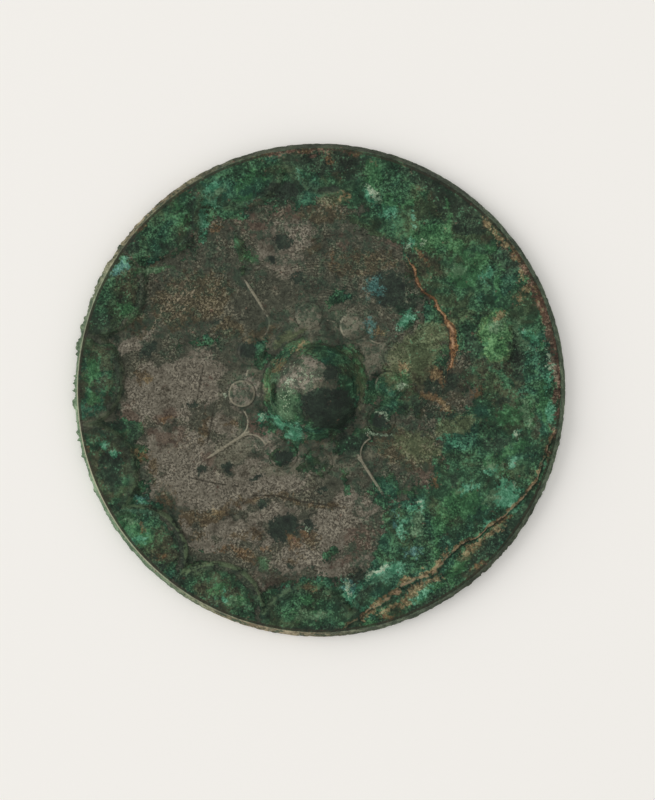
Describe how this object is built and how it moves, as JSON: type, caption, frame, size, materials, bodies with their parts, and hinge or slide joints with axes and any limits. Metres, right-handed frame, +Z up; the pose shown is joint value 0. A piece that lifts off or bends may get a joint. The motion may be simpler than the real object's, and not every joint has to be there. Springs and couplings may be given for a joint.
{
  "type": "ancient bronze mirror",
  "caption": "Round cast bronze mirror lying face down: domed knob with a cord hole, small raised discs and thin stems in low relief, scalloped rim of linked arcs, green corrosion.",
  "frame": {"origin": "centre of the polished face, on the surface that the mirror lies on", "axes": "+Z up out of the decorated back, +X along the cord hole through the knob"},
  "size_m": [0.12, 0.12, 0.0116],
  "materials": {
    "bronze": "corroded cast bronze, grey-brown metal under green crust"
  },
  "bodies": {
    "root": {"mirror": "bronze"}
  },
  "joints": []
}
